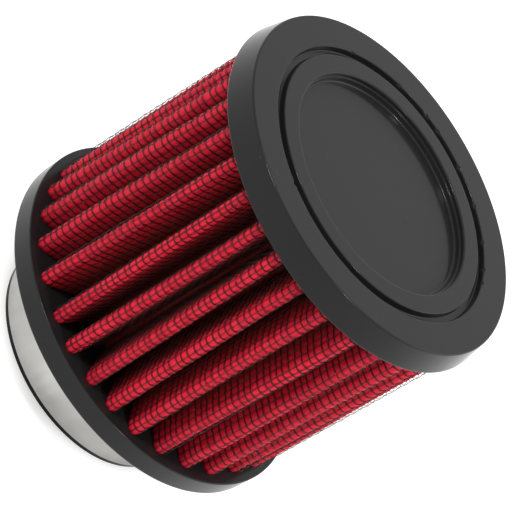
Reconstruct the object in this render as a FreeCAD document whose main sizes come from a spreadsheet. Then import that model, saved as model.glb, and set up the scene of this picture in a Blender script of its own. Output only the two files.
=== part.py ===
import FreeCAD, Part
import math
import os
import Sketcher

# Crankcase breather filter: a pleated cotton and wire-cloth ring between two moulded
# rubber caps. The base cap carries the clamp neck and a worm drive hose clamp.
# The origin is the centre of the neck's end face, with +Z along the axis to the closed cap.
# Lengths are millimetres and angles are degrees.

doc = FreeCAD.newDocument("breather_filter")
sheet = doc.addObject("Spreadsheet::Sheet", "sizes")

SIZES = (
    ("neck_bore_radius", 22.225, "neck: radius of the bore, for a 1 3/4 inch tube"),
    ("neck_lip_radius", 24.7, "neck: radius of the lip that stops the clamp sliding off"),
    ("neck_seat_radius", 24.5, "neck: radius under the clamp band"),
    ("neck_length", 15.8, "neck: length below the base flange"),
    ("neck_lead_in", 0.6, "neck: chamfer at the mouth of the bore"),
    ("neck_root_cove", 0.8, "neck: cove where it meets the flange"),
    ("lip_height", 1.0, "neck: height of the lip"),
    ("base_bottom_radius", 37.8, "base flange: radius at its lower edge"),
    ("base_top_radius", 37.95, "base flange: radius at its upper edge"),
    ("base_thickness", 4.96, "base flange: thickness"),
    ("top_lower_radius", 38.1, "top cap: radius at its lower edge, for 3 inches overall"),
    ("top_face_radius", 37.3, "top cap: radius at its face"),
    ("top_thickness", 5.95, "top cap: thickness"),
    ("cap_edge_break", 0.45, "caps: break of the edges that face away from the pleats"),
    ("groove_radius", 29.1, "top cap: middle radius of the ring groove"),
    ("groove_width", 1.8, "top cap: width of the ring groove"),
    ("groove_depth", 1.4, "top cap: depth of the ring groove"),
    ("groove_draft", 0.15, "top cap: how far each groove wall leans in"),
    ("recess_radius", 24.0, "top cap: radius of the round recess at the face"),
    ("recess_depth", 3.3, "top cap: depth of the recess floor below the face"),
    ("step_depth", 1.15, "top cap: depth of the step in the recess wall"),
    ("step_width", 0.3, "top cap: width of the step"),
    ("recess_draft", 0.2, "top cap: how far the lower recess wall leans in"),
    ("recess_edge_break", 0.25, "top cap: break of the recess edge"),
    ("pleat_height", 53.7, "pleat pack: height between the caps"),
    ("pleat_count", 30, "pleat pack: number of pleats"),
    ("pleat_phase", 10.5, "pleat pack: angle of the first pleat from +X"),
    ("pack_outer_radius", 36.4, "pleat pack: radius over the pleat tips"),
    ("pack_inner_radius", 22.9, "pleat pack: radius inside the pleat feet"),
    ("tip_inside_radius", 0.12, "pleat pack: inside radius of the innermost layer at a tip"),
    ("foot_inside_radius", 0.3, "pleat pack: inside radius of the outermost layer at a foot"),
    ("screen_thickness", 0.4, "wire cloth: thickness over the crossed wires"),
    ("wire_width", 0.3, "wire cloth: width of a wire where it rides over the pleat tips"),
    ("wire_rise", 0.15, "wire cloth: how far those wires stand above the cloth's flats"),
    ("gauze_thickness", 0.8, "gauze: thickness of the layered cotton"),
    ("band_width", 12.7, "clamp band: width"),
    ("band_thickness", 0.6, "clamp band: thickness"),
    ("lap_clearance", 0.05, "clamp band: gap between its lapped ends"),
    ("inner_end_angle", 15.0, "clamp band: inner end, past the middle of the housing"),
    ("lap_start_angle", 19.0, "clamp band: where the tail lies on its upper radius"),
    ("lap_ramp_angle", 11.0, "clamp band: angle over which the tail steps up"),
    ("tail_angle", 50.0, "clamp band: tail end, past the middle of the housing"),
    ("slot_length", 7.6, "clamp band: length of a worm slot"),
    ("slot_width", 1.3, "clamp band: width of a worm slot"),
    ("slot_lean", 0.45, "clamp band: how far a slot leans over its length"),
    ("slot_pitch_angle", 7.2, "clamp band: angle between slots"),
    ("tail_round", 3.0, "clamp band: rounding of the corners of its tail"),
    ("tail_slot_count", 8, "clamp band: slots in the lapped tail"),
    ("band_slot_count", 9, "clamp band: slots beyond the lap"),
    ("worm_root_radius", 2.9, "clamp screw: radius of the shank"),
    ("worm_crest_radius", 3.7, "clamp screw: radius over the worm thread"),
    ("worm_clearance", 0.15, "clamp screw: gap between the shank and the band"),
    ("worm_running_gap", 0.06, "clamp screw: radial gap in the holes of the housing"),
    ("chamber_clearance", 0.3, "clamp housing: gap round the thread"),
    ("chamber_length", 13.2, "clamp housing: length of the worm chamber"),
    ("housing_wall", 0.75, "clamp housing: thickness of the sheet"),
    ("housing_end", 1.2, "clamp housing: thickness of each end plate"),
    ("band_side_gap", 0.05, "clamp housing: gap beside each edge of the band"),
    ("band_top_gap", 0.2, "clamp housing: gap over the lapped tail"),
    ("housing_foot_gap", 0.1, "clamp housing: gap between its legs and the neck's lip"),
    ("housing_edge_round", 0.6, "clamp housing: rounding of its shoulders"),
    ("screw_end_play", 0.2, "clamp screw: gap between its shoulder and the housing"),
    ("screw_tail", 1.4, "clamp screw: how far the shank stands out behind the housing"),
    ("shoulder_radius", 4.1, "clamp screw: radius of the round shoulder under the head"),
    ("shoulder_thickness", 1.3, "clamp screw: thickness of the shoulder"),
    ("head_across_flats", 7.94, "clamp screw: hexagon across flats, 5/16 inch"),
    ("head_height", 4.4, "clamp screw: height of the hexagon"),
    ("head_chamfer", 0.5, "clamp screw: chamfer over the corners of the hexagon"),
    ("driver_slot_width", 1.3, "clamp screw: width of the driver slot"),
    ("driver_slot_depth", 1.9, "clamp screw: depth of the driver slot"),
)


class Size:
    """A value that also keeps the formula that ties it to the sheet."""

    def __init__(self, value, formula):
        self.value = float(value)
        self.formula = formula

    def __add__(self, other):
        other = sized(other)
        return Size(self.value + other.value, f"({self.formula} + {other.formula})")

    def __radd__(self, other):
        return sized(other) + self

    def __sub__(self, other):
        other = sized(other)
        return Size(self.value - other.value, f"({self.formula} - {other.formula})")

    def __rsub__(self, other):
        return sized(other) - self

    def __mul__(self, other):
        other = sized(other)
        return Size(self.value * other.value, f"({self.formula} * {other.formula})")

    def __rmul__(self, other):
        return sized(other) * self

    def __truediv__(self, other):
        other = sized(other)
        return Size(self.value / other.value, f"({self.formula} / {other.formula})")

    def __rtruediv__(self, other):
        return sized(other) / self

    def __neg__(self):
        return Size(-self.value, f"(-{self.formula})")


def sized(number):
    return number if isinstance(number, Size) else Size(number, repr(number))


def cosine(angle):
    return Size(math.cos(math.radians(angle.value)), f"cos({angle.formula} * 1 deg)")


def sine(angle):
    return Size(math.sin(math.radians(angle.value)), f"sin({angle.formula} * 1 deg)")


def square_root(amount):
    return Size(math.sqrt(amount.value), f"sqrt({amount.formula})")


def arc_sine(ratio):
    return Size(math.degrees(math.asin(ratio.value)), f"(asin({ratio.formula}) / 1 deg)")


def arc_tangent(ratio):
    return Size(math.degrees(math.atan(ratio.value)), f"(atan({ratio.formula}) / 1 deg)")


for row, (alias, value, note) in enumerate(SIZES, start=1):
    sheet.set(f"A{row}", note)
    sheet.set(f"B{row}", str(value))
    sheet.setAlias(f"B{row}", alias)
doc.recompute()

size = {alias: Size(value, f"sizes.{alias}") for alias, value, note in SIZES}

ZERO = Size(0, "0")
ORIGIN_POINT = (-1, 1)

# The cloth bends in flats: three over each tip, and one down each side of a foot. On the outside
# of the pack a wire stands along the middle of each flat of the tip.
TIP_FLAT_COUNT = 3
FOOT_FLAT_COUNT = 1


def bind(feature, path, amount):
    feature.setExpression(path, amount.formula)


def new_body(label, y=ZERO, z=ZERO):
    body = doc.addObject("PartDesign::Body", label)
    body.Label = label
    bind(body, "Placement.Base.y", y)
    bind(body, "Placement.Base.z", z)
    return body


def origin_feature(body, role):
    return next(item for item in body.Origin.OriginFeatures if item.Role == role)


def new_sketch(body, role, name):
    sketch = body.newObject("Sketcher::SketchObject", name)
    sketch.AttachmentSupport = (origin_feature(body, role), [""])
    sketch.MapMode = "FlatFace"
    return sketch


def fix_distance(sketch, kind, geometry, end, amount):
    """Tie one coordinate of a sketch point to the sheet, whichever side of the origin it is on."""
    if amount.value < 0:
        number = sketch.addConstraint(Sketcher.Constraint(kind, geometry, end, *ORIGIN_POINT, -amount.value))
        bind(sketch, f"Constraints[{number}]", -amount)
    else:
        number = sketch.addConstraint(Sketcher.Constraint(kind, *ORIGIN_POINT, geometry, end, amount.value))
        bind(sketch, f"Constraints[{number}]", amount)


def fix_point(sketch, geometry, end, across, up):
    fix_distance(sketch, "DistanceX", geometry, end, across)
    fix_distance(sketch, "DistanceY", geometry, end, up)


def fix_radius(sketch, geometry, amount):
    number = sketch.addConstraint(Sketcher.Constraint("Radius", geometry, amount.value))
    bind(sketch, f"Constraints[{number}]", amount)


def outline(body, role, name, corners):
    """A closed outline of straight edges, with every corner tied to the sheet."""
    sketch = new_sketch(body, role, name)
    corners = [(sized(across), sized(up)) for across, up in corners]
    points = [FreeCAD.Vector(across.value, up.value, 0) for across, up in corners]
    count = len(points)
    for i in range(count):
        sketch.addGeometry(Part.LineSegment(points[i], points[(i + 1) % count]), False)
    for i in range(count):
        sketch.addConstraint(Sketcher.Constraint("Coincident", i, 2, (i + 1) % count, 1))
    for i, (across, up) in enumerate(corners):
        fix_point(sketch, i, 1, across, up)
    return sketch


def circle_sketch(body, role, name, across, up, radius):
    sketch = new_sketch(body, role, name)
    centre = FreeCAD.Vector(across.value, up.value, 0)
    sketch.addGeometry(Part.Circle(centre, FreeCAD.Vector(0, 0, 1), radius.value), False)
    fix_point(sketch, 0, 3, across, up)
    fix_radius(sketch, 0, radius)
    return sketch


def revolve(body, sketch, axis, name):
    turned = body.newObject("PartDesign::Revolution", name)
    turned.Profile = sketch
    turned.ReferenceAxis = (sketch, [axis])
    turned.Angle = 360
    doc.recompute()
    return turned


def pad(body, sketch, name, length, midplane=False):
    added = body.newObject("PartDesign::Pad", name)
    added.Profile = sketch
    added.Midplane = midplane
    bind(added, "Length", length)
    doc.recompute()
    return added


def pocket(body, sketch, name, length, midplane=False):
    """Cut a sketch's prism out of the body, and stop if it cuts nothing."""
    before = body.Shape.Volume
    cut = body.newObject("PartDesign::Pocket", name)
    cut.Profile = sketch
    cut.Midplane = midplane
    bind(cut, "Length", length)
    doc.recompute()
    if cut.Shape.Volume >= before:
        raise RuntimeError(f"{name} cuts nothing")
    return cut


def groove(body, sketch, axis, name):
    """Turn a sketch out of the body, and stop if it cuts nothing."""
    before = body.Shape.Volume
    cut = body.newObject("PartDesign::Groove", name)
    cut.Profile = sketch
    cut.ReferenceAxis = (sketch, [axis])
    cut.Angle = 360
    doc.recompute()
    if cut.Shape.Volume >= before:
        raise RuntimeError(f"{name} cuts nothing")
    return cut


def polar(body, feature, name, count, angle=None):
    """Repeat a feature about the body's Z axis, over a full turn or at a stated angle apart."""
    pattern = body.newObject("PartDesign::PolarPattern", name)
    pattern.Originals = [feature]
    pattern.Axis = (origin_feature(body, "Z_Axis"), [""])
    bind(pattern, "Occurrences", count)
    if angle is None:
        pattern.Angle = 360
    else:
        bind(pattern, "Angle", angle * (count - 1))
    body.Tip = pattern
    doc.recompute()
    return pattern


def straight_edges(feature, wanted):
    """Names of the straight edges whose two ends satisfy a test."""
    names = []
    for number, edge in enumerate(feature.Shape.Edges, start=1):
        ends = [vertex.Point for vertex in edge.Vertexes]
        if isinstance(edge.Curve, Part.Line) and all(wanted(point) for point in ends):
            names.append(f"Edge{number}")
    return names


def fillet(body, feature, name, names, radius):
    if not names:
        raise RuntimeError(f"{name} has no edges")
    rounded = body.newObject("PartDesign::Fillet", name)
    rounded.Base = (feature, names)
    bind(rounded, "Radius", radius)
    doc.recompute()
    return rounded


def make_top_cap():
    """Closed cap: a drafted disc with a ring groove and a stepped round recess in its face."""
    base = size["neck_length"] + size["base_thickness"] + size["pleat_height"]
    body = new_body("top_cap", z=base)
    face = size["top_thickness"]
    rim_break = size["cap_edge_break"]
    groove_out = size["groove_radius"] + size["groove_width"] / 2
    groove_in = size["groove_radius"] - size["groove_width"] / 2
    groove_floor = face - size["groove_depth"]
    edge = size["recess_radius"]
    edge_break = size["recess_edge_break"]
    step = face - size["step_depth"]
    ledge = edge - size["step_width"]
    floor_radius = ledge - size["recess_draft"]
    floor = face - size["recess_depth"]
    profile = outline(body, "XZ_Plane", "cap_profile", (
        (ZERO, ZERO),
        (size["top_lower_radius"], ZERO),
        (size["top_face_radius"], face - rim_break),
        (size["top_face_radius"] - rim_break, face),
        (groove_out, face),
        (groove_out - size["groove_draft"], groove_floor),
        (groove_in + size["groove_draft"], groove_floor),
        (groove_in, face),
        (edge + edge_break, face),
        (edge, face - edge_break),
        (edge, step),
        (ledge, step),
        (floor_radius, floor),
        (ZERO, floor),
    ))
    revolve(body, profile, "V_Axis", "cap_disc")
    return body


def make_base_cap():
    """Open base: the flange under the pleats and the clamp neck, moulded as one piece."""
    body = new_body("base_cap")
    bore = size["neck_bore_radius"]
    seat = size["neck_seat_radius"]
    under = size["neck_length"]
    top = under + size["base_thickness"]
    rim_break = size["cap_edge_break"]
    root = size["neck_root_cove"]
    profile = outline(body, "XZ_Plane", "base_profile", (
        (bore + size["neck_lead_in"], ZERO),
        (size["neck_lip_radius"], ZERO),
        (size["neck_lip_radius"], size["lip_height"]),
        (seat, size["lip_height"]),
        (seat, under - root),
        (seat + root, under),
        (size["base_bottom_radius"] - rim_break, under),
        (size["base_bottom_radius"], under + rim_break),
        (size["base_top_radius"], top),
        (bore, top),
        (bore, size["neck_lead_in"]),
    ))
    revolve(body, profile, "V_Axis", "flange_and_neck")
    return body


def pleat_folds():
    """Centres of the folds, the outermost radius at a tip, and the direction of the legs.

    The outermost faces at a tip and at a foot curve opposite ways, so a leg is the inner
    tangent of the two fold circles, and every layer's leg runs the same way.
    """
    stack = 2 * size["screen_thickness"] + size["gauze_thickness"]
    tip_outside = size["tip_inside_radius"] + stack
    tip_centre = size["pack_outer_radius"] - tip_outside
    foot_centre = size["pack_inner_radius"] + size["foot_inside_radius"] + stack
    half_pitch = 180 / size["pleat_count"]
    along = tip_centre - foot_centre * cosine(half_pitch)
    across = foot_centre * sine(half_pitch)
    apart = square_root(along * along + across * across)
    slope = arc_tangent(across / along)
    crossing = arc_sine((tip_outside + size["foot_inside_radius"]) / apart)
    return tip_centre, foot_centre, tip_outside, slope - crossing


def fold_corners(centre_radius, centre_angle, fold_radius, first, last, flats):
    """Corners along a fold, which turns in equal flats from a first to a last direction."""
    corners = []
    for step in range(flats + 1):
        direction = first + (last - first) * (step / flats)
        x = centre_radius * cosine(centre_angle) + fold_radius * cosine(direction)
        y = centre_radius * sine(centre_angle) + fold_radius * sine(direction)
        corners.append((x, y))
    return corners


def wired_tip(tip_centre, flat_radius, wire_radius, turn):
    """Corners over a tip, with the ridge of a wire along the middle of each flat."""
    flat_turn = 2 * turn / TIP_FLAT_COUNT
    flat_middle = flat_radius * cosine(flat_turn / 2)
    half_wire = size["wire_width"] / 2
    corners = fold_corners(tip_centre, ZERO, flat_radius, -turn, turn, TIP_FLAT_COUNT)
    wired = corners[:1]
    for number in range(TIP_FLAT_COUNT):
        direction = (number + 0.5) * flat_turn - turn
        x = tip_centre + flat_middle * cosine(direction)
        y = flat_middle * sine(direction)
        side_x = half_wire * sine(direction)
        side_y = half_wire * cosine(direction)
        crest = (tip_centre + wire_radius * cosine(direction), wire_radius * sine(direction))
        wired += [(x + side_x, y - side_y), crest, (x - side_x, y + side_y), corners[number + 1]]
    return wired


def pleat_face(depth, wired=False):
    """Corners of one pleat, from the middle of a foot over the tip to the middle of the next.

    On a wired face the depth is that of the flats, and the wires rise to the outside of the pack.
    """
    tip_centre, foot_centre, tip_outside, lean = pleat_folds()
    half_pitch = 180 / size["pleat_count"]
    tip_radius = tip_outside - depth
    foot_radius = size["foot_inside_radius"] + depth
    turn = 90 - lean
    lower_ray = -half_pitch - 180
    upper_ray = half_pitch + 180
    lower_foot = fold_corners(foot_centre, -half_pitch, foot_radius, lower_ray, -turn - 180, FOOT_FLAT_COUNT)
    if wired:
        tip = wired_tip(tip_centre, tip_radius, tip_outside, turn)
    else:
        tip = fold_corners(tip_centre, ZERO, tip_radius, -turn, turn, TIP_FLAT_COUNT)
    upper_foot = fold_corners(foot_centre, half_pitch, foot_radius, turn + 180, upper_ray, FOOT_FLAT_COUNT)
    return lower_foot + tip + upper_foot


def make_layer(label, outer_face, inner_face):
    """One pleated layer between two faces of the pack."""
    body = new_body(label, z=size["neck_length"] + size["base_thickness"])
    body.Placement.Rotation = FreeCAD.Rotation(FreeCAD.Vector(0, 0, 1), 1)
    bind(body, "Placement.Rotation.Angle", size["pleat_phase"])
    section = outline(body, "XY_Plane", "pleat_section", outer_face + inner_face[::-1])
    pleat = pad(body, section, "one_pleat", size["pleat_height"])
    polar(body, pleat, "pleat_ring", size["pleat_count"])
    return body


def clamp_height():
    """Height of the middle of the clamp band."""
    return size["lip_height"] + size["band_width"] / 2


def lap_radii():
    """Inner and outer radius of the band's lapped tail."""
    inner = size["neck_seat_radius"] + size["band_thickness"] + size["lap_clearance"]
    return inner, inner + size["band_thickness"]


def screw_radius():
    """Distance of the screw's axis from the filter's axis."""
    return lap_radii()[1] + size["worm_clearance"] + size["worm_root_radius"]


def make_clamp_band():
    """One strip: round the neck, up a short ramp, and over its own inner end as a tail."""
    body = new_body("clamp_band", z=size["lip_height"])
    inside = size["neck_seat_radius"]
    outside = inside + size["band_thickness"]
    lap_inside, lap_outside = lap_radii()
    housing = Size(90, "90")
    end = housing + size["inner_end_angle"]
    lap = housing + size["lap_start_angle"]
    ramp = lap + size["lap_ramp_angle"]
    tail = housing - size["tail_angle"]
    turn = Size(360, "360")
    arcs = (
        (inside, ramp, end + turn),
        (outside, ramp, end + turn),
        (lap_inside, tail, lap),
        (lap_outside, tail, lap),
    )
    sketch = new_sketch(body, "XY_Plane", "band_path")
    middle = FreeCAD.Vector(0, 0, 0)
    up = FreeCAD.Vector(0, 0, 1)
    for radius, start, stop in arcs:
        circle = Part.Circle(middle, up, radius.value)
        sketch.addGeometry(Part.ArcOfCircle(circle, math.radians(start.value), math.radians(stop.value)), False)
    joins = (((0, 2), (1, 2)), ((0, 1), (2, 2)), ((1, 1), (3, 2)), ((2, 1), (3, 1)))
    for first, second in joins:
        points = [sketch.getPoint(*place) for place in (first, second)]
        line = sketch.addGeometry(Part.LineSegment(*points), False)
        sketch.addConstraint(Sketcher.Constraint("Coincident", line, 1, *first))
        sketch.addConstraint(Sketcher.Constraint("Coincident", line, 2, *second))
    for number, (radius, start, stop) in enumerate(arcs):
        sketch.addConstraint(Sketcher.Constraint("Coincident", number, 3, *ORIGIN_POINT))
        fix_radius(sketch, number, radius)
        fix_distance(sketch, "DistanceX", number, 1, radius * cosine(start))
        fix_distance(sketch, "DistanceX", number, 2, radius * cosine(stop))
    strip = pad(body, sketch, "strip", size["band_width"])
    corners = []
    for level in (ZERO, size["band_width"]):
        corners += straight_edges(strip, lambda point: abs(point.z - level.value) < 1e-6
                                  and abs(math.degrees(math.atan2(point.y, point.x)) - tail.value) < 1e-6)
    fillet(body, strip, "tail_corners", corners, size["tail_round"])

    between_layers = outside + size["lap_clearance"] / 2
    half_pitch = size["slot_pitch_angle"] / 2
    cut_slots(body, "tail_slot", tail + half_pitch, between_layers, size["tail_slot_count"])
    cut_slots(body, "band_slot", ramp + half_pitch, inside / 2, size["band_slot_count"])
    return body


def cut_slots(body, name, start, from_radius, count):
    """A row of worm slots through one layer of the band, from a start angle onwards."""
    middle = size["band_width"] / 2
    half_length = size["slot_length"] / 2
    half_width = size["slot_width"] / 2
    lean = size["slot_lean"] / 2
    sketch = outline(body, "XZ_Plane", name, (
        (-half_width - lean, middle - half_length),
        (half_width - lean, middle - half_length),
        (half_width + lean, middle + half_length),
        (-half_width + lean, middle + half_length),
    ))
    upright = FreeCAD.Rotation(FreeCAD.Vector(0, 1, 0), 1)
    sketch.AttachmentOffset = FreeCAD.Placement(FreeCAD.Vector(0, 0, 0), upright)
    away = start - 90
    bind(sketch, "AttachmentOffset.Rotation.Angle", away)
    bind(sketch, "AttachmentOffset.Base.x", -from_radius * sine(away))
    bind(sketch, "AttachmentOffset.Base.z", -from_radius * cosine(away))
    doc.recompute()
    first = pocket(body, sketch, f"first_{name}", size["neck_seat_radius"])
    polar(body, first, f"{name}s", count, size["slot_pitch_angle"])


def make_clamp_housing():
    """Pressed housing: legs that follow the neck beside the band, shoulders, and a dome over the worm."""
    body = new_body("clamp_housing", z=clamp_height())
    axis = screw_radius()
    wall = size["housing_wall"]
    roof = lap_radii()[1] + size["band_top_gap"]
    shoulder = roof + wall
    inner_side = size["band_width"] / 2 + size["band_side_gap"]
    outer_side = inner_side + wall
    chamber = size["worm_crest_radius"] + size["chamber_clearance"]
    dome = chamber + wall
    length = size["chamber_length"] + 2 * size["housing_end"]
    saddle = size["neck_lip_radius"] + size["housing_foot_gap"]
    foot = square_root(saddle * saddle - length * length / 4) - wall
    shell = outline(body, "YZ_Plane", "housing_section", (
        (foot, -outer_side),
        (shoulder, -outer_side),
        (shoulder, -dome),
        (axis, -dome),
        (axis, dome),
        (shoulder, dome),
        (shoulder, outer_side),
        (foot, outer_side),
    ))
    block = pad(body, shell, "housing_block", length, midplane=True)
    corners = straight_edges(block, lambda point: abs(point.y - shoulder.value) < 1e-6
                             and abs(abs(point.z) - outer_side.value) < 1e-6)
    fillet(body, block, "shoulders", corners, size["housing_edge_round"])
    pad(body, circle_sketch(body, "YZ_Plane", "dome_section", axis, ZERO, dome), "dome", length, midplane=True)
    channel = outline(body, "YZ_Plane", "band_channel", (
        (foot - wall, -inner_side),
        (roof, -inner_side),
        (roof, inner_side),
        (foot - wall, inner_side),
    ))
    pocket(body, channel, "channel", 2 * length, midplane=True)
    worm_space = circle_sketch(body, "YZ_Plane", "worm_space", axis, ZERO, chamber)
    pocket(body, worm_space, "worm_chamber", size["chamber_length"], midplane=True)
    under_worm = outline(body, "YZ_Plane", "under_worm", (
        (foot, -chamber),
        (axis, -chamber),
        (axis, chamber),
        (foot, chamber),
    ))
    pocket(body, under_worm, "chamber_mouth", size["chamber_length"], midplane=True)
    hole_radius = size["worm_root_radius"] + size["worm_running_gap"]
    hole = circle_sketch(body, "YZ_Plane", "screw_hole", axis, ZERO, hole_radius)
    pocket(body, hole, "screw_holes", 2 * length, midplane=True)
    round_neck = circle_sketch(body, "XY_Plane", "round_neck", ZERO, ZERO, saddle)
    pocket(body, round_neck, "curved_feet", 4 * outer_side, midplane=True)
    return body


def make_clamp_screw():
    """Worm screw along X: shank, collars inside the housing, round shoulder and slotted hexagon head."""
    body = new_body("clamp_screw", y=screw_radius(), z=clamp_height())
    root = size["worm_root_radius"]
    plate = size["chamber_length"] / 2 + size["housing_end"]
    collar = size["chamber_length"] / 2 - size["screw_end_play"]
    tail = -plate - size["screw_tail"]
    shoulder = plate + size["screw_end_play"]
    head = shoulder + size["shoulder_thickness"]
    profile = outline(body, "XY_Plane", "screw_profile", (
        (tail, ZERO),
        (tail, root - size["worm_clearance"]),
        (tail + size["worm_clearance"], root),
        (-collar, root),
        (-collar, size["worm_crest_radius"]),
        (-collar + size["housing_end"], root),
        (collar - size["housing_end"], root),
        (collar, size["worm_crest_radius"]),
        (collar, root),
        (shoulder, root),
        (shoulder, size["shoulder_radius"]),
        (head, size["shoulder_radius"]),
        (head, ZERO),
    ))
    revolve(body, profile, "H_Axis", "shank")

    corner_radius = size["head_across_flats"] / 2 / cosine(Size(30, "30"))
    corners = []
    for step in range(6):
        angle = Size(60 * step, repr(60 * step))
        corners.append((corner_radius * cosine(angle), corner_radius * sine(angle)))
    hexagon = outline(body, "YZ_Plane", "hexagon", corners)
    bind(hexagon, "AttachmentOffset.Base.z", head)
    pad(body, hexagon, "hexagon_head", size["head_height"])
    end = head + size["head_height"]
    chamfer = size["head_chamfer"]
    cone = outline(body, "XY_Plane", "head_cone", (
        (end, corner_radius - 2 * chamfer),
        (end, corner_radius + chamfer),
        (end - 1.5 * chamfer, corner_radius + chamfer),
    ))
    groove(body, cone, "H_Axis", "head_chamfer")
    slot_side = size["driver_slot_width"] / 2
    slot = outline(body, "XY_Plane", "driver_slot", (
        (end - size["driver_slot_depth"], -slot_side),
        (end + size["driver_slot_depth"], -slot_side),
        (end + size["driver_slot_depth"], slot_side),
        (end - size["driver_slot_depth"], slot_side),
    ))
    pocket(body, slot, "driver_slot_cut", 4 * size["shoulder_radius"], midplane=True)
    return body


def check_document():
    """Recompute, and stop at any object that failed."""
    doc.recompute()
    for item in doc.Objects:
        if "Invalid" in item.State or "Error" in item.State:
            raise RuntimeError(f"{item.Name} failed: {item.State}")


outside_face = pleat_face(size["wire_rise"], wired=True)
under_outer_screen = pleat_face(size["screen_thickness"])
under_gauze = pleat_face(size["screen_thickness"] + size["gauze_thickness"])
inside_face = pleat_face(2 * size["screen_thickness"] + size["gauze_thickness"])

bodies = [
    make_top_cap(),
    make_base_cap(),
    make_layer("outer_screen", outside_face, under_outer_screen),
    make_layer("gauze_media", under_outer_screen, under_gauze),
    make_layer("inner_screen", under_gauze, inside_face),
    make_clamp_band(),
    make_clamp_housing(),
    make_clamp_screw(),
]
check_document()

os.makedirs("parts", exist_ok=True)
for body in bodies:
    shape = body.Shape
    if shape.isNull() or not shape.isValid():
        raise RuntimeError(f"{body.Label} is not a valid solid")
    box = shape.BoundBox
    print(f"{body.Label}: {len(shape.Solids)} solid, {shape.Volume:.1f} mm3, "
          f"x {box.XMin:.2f} {box.XMax:.2f}, y {box.YMin:.2f} {box.YMax:.2f}, z {box.ZMin:.2f} {box.ZMax:.2f}")
    shape.exportStep(f"parts/{body.Label}.step")
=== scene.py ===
import math
import random

import bmesh
import bpy
import numpy as np
from mathutils import Matrix, Vector


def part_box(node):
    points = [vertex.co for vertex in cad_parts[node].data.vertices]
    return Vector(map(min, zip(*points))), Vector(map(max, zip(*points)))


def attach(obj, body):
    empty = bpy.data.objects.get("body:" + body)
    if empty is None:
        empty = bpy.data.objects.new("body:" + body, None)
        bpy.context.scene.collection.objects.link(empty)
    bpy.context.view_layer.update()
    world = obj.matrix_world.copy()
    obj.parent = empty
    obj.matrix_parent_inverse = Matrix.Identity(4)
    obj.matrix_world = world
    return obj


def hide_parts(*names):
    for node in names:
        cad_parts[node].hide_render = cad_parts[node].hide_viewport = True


# The looks of a pleated crankcase breather filter: two moulded rubber caps, red oiled
# gauze between two wire cloths, and a worm drive clamp round the neck.
# Lengths are metres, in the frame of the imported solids: +Z along the filter's axis,
# from the open neck to the closed cap, with the clamp's housing on +Y.

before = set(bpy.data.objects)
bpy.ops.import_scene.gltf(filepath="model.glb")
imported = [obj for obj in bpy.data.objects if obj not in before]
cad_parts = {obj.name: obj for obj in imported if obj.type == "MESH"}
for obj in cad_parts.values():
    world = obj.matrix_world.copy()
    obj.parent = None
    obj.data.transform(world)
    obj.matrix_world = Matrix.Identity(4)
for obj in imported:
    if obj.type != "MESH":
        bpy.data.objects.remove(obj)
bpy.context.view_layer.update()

MM = 0.001
TURN = 2 * math.pi

# The caps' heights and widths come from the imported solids, and the pleats stand between them.
base_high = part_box("base_cap")[1]
top_low, top_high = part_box("top_cap")
PACK_BOTTOM = base_high.z
PACK_TOP = top_low.z

# The pleats, as in the solids.
PLEAT_COUNT = 30
PLEAT_PHASE = math.radians(10.5)
HALF_PITCH = math.pi / PLEAT_COUNT
PACK_OUTER_RADIUS = 36.4 * MM
PACK_INNER_RADIUS = 22.9 * MM
TIP_OUTSIDE_RADIUS = 1.72 * MM
FOOT_INSIDE_RADIUS = 0.3 * MM
PACK_THICKNESS = 1.6 * MM
OUTER_CLOTH_DEPTH = 0.2 * MM
GAUZE_OUTER_DEPTH = 0.42 * MM
GAUZE_INNER_DEPTH = 1.2 * MM
INNER_CLOTH_DEPTH = 1.4 * MM

# The wire cloth: about fifteen wires to the inch both ways, woven over and under, with its ends in the rubber.
WIRES_PER_PLEAT = 16
WIRE_COUNT = PLEAT_COUNT * WIRES_PER_PLEAT
WIRE_ROWS = 32
ROW_PITCH = (PACK_TOP - PACK_BOTTOM) / WIRE_ROWS
WIRE_RADIUS = 0.074 * MM
WIRE_CRIMP = 0.12 * MM
END_IN_RUBBER = 0.3 * MM

# The gauze puffs out through the cells, falls short of the wires on the crests, and has painted shade deep in the
# folds, darker towards the axis.
GAUZE_PUFF = 0.3 * MM
CREST_GAP = 0.34 * MM
CREST_GAP_REACH = 2.0 * MM
CREST_GAP_TURN_PER_PLEAT = 2.3
CREST_GAP_TURN_PER_ROW = 0.16
FULL_FOLD_SHADE_RADIUS = 28 * MM
NO_FOLD_SHADE_RADIUS = 35.2 * MM

# How unevenly the pleats were gathered when the caps were moulded on. The ring leans most at its front, and
# its feet only share in that.
GATHERING_SEED = 19
FRONT = math.radians(-95)
BASE_SWAY = math.radians(1.1)
BASE_SWAY_WAVES = 2.4
BASE_SWAY_START = math.radians(3)
TOP_TWIST = math.radians(4.2)
TOP_TWIST_WAVES = 1.6
TOP_TWIST_START = math.radians(20)
FOOT_LEAN_SHARE = 0.45
PLEAT_JITTER = math.radians(0.5)
PLEAT_HEIGHT_JITTER = 0.22 * MM
# Pleats that were pushed well out of step, by number, in degrees: at the base and at the closed cap.
BASE_STRAY = {15: -0.8, 16: -1.3, 17: -1.6, 18: -1, 19: -0.6, 20: 1.9, 21: 0.9, 22: 2, 23: 0.6, 24: 0.5, 25: 0.3}
CAP_STRAY = {17: -0.8, 18: -0.6, 19: -0.2, 20: 0.8, 21: 2, 22: 2.2, 23: 2, 24: 2.3, 25: 3.4, 26: 2.8, 27: 2,
             28: 1.1, 29: 0.5}

# How unevenly the cloth is woven, in cells: its shift on each pleat, how far a wire is out of place, and how far
# it wanders. The rows also rise and fall in slow waves: height, waves in a turn, and start.
WIRE_SHIFT = 0.5
WIRE_SHIFT_STEP = 0.35
WIRE_UNEVENNESS = 0.09
WIRE_WANDER = 0.08
COLUMN_SEED = 3
ROW_SEED = 8
ROW_WAVES = ((0.22, 2, 0.6), (0.12, 5, 0))
ROWS_HELD_BY_CAP = 3

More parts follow.
